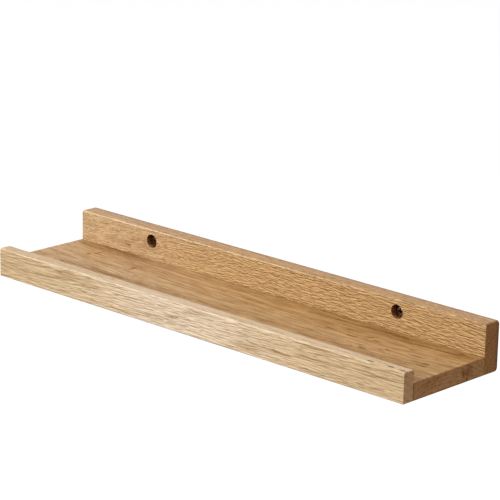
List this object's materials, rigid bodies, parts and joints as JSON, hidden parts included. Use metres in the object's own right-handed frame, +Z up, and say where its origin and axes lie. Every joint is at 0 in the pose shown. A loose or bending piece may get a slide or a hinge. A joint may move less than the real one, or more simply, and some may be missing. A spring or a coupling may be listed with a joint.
{
  "type": "picture ledge",
  "caption": "Wall-hung picture ledge in solid oak: a tall back board, a narrow shelf and a raised front lip, held by screws in counterbored holes.",
  "frame": {"origin": "on the back board's rear face, which is the wall plane, midway between the two screws", "axes": "+X along the ledge, to the right as seen from the room; +Y into the wall; +Z up"},
  "size_m": [0.4, 0.1212, 0.0365],
  "materials": {
    "oak_back": "solid oak, oiled, satin",
    "oak_shelf": "solid oak, oiled, satin",
    "oak_lip": "solid oak, oiled, satin",
    "beech": "fluted beech dowel, raw",
    "screw_steel": "dark plated steel"
  },
  "bodies": {
    "root": {"back_board": "oak_back", "shelf_board": "oak_shelf", "front_lip": "oak_lip", "lip_dowel_1": "beech", "lip_dowel_2": "beech", "lip_dowel_3": "beech", "lip_dowel_4": "beech", "back_dowel_1": "beech", "back_dowel_2": "beech", "back_dowel_3": "beech", "back_dowel_4": "beech", "wall_screw_left": "screw_steel", "wall_screw_right": "screw_steel"}
  },
  "joints": []
}
